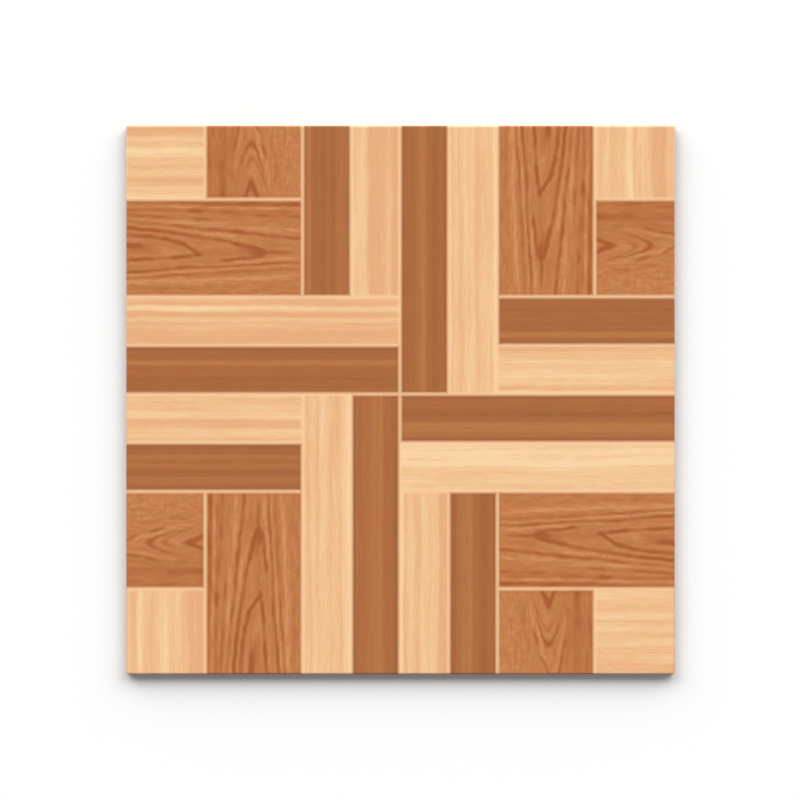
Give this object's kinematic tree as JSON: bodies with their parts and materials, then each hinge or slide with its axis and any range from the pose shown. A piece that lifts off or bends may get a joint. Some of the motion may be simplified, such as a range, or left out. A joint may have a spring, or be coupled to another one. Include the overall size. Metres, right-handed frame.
{
  "type": "wood-look floor tile",
  "caption": "Square glazed ceramic floor tile with a flat face printed as a pinwheel of oak blocks and light and dark wood strips, eased edges and a keyed back.",
  "frame": {"origin": "middle of the back, on the plane that the ribs lie on", "axes": "+Z out of the glazed face, +X and +Y along the tile's edges"},
  "size_m": [0.396, 0.396, 0.008],
  "materials": {
    "glazed_tile": "satin glaze over a wood print on the face, bare fired clay on the sides and back"
  },
  "bodies": {
    "root": {"tile": "glazed_tile"}
  },
  "joints": []
}
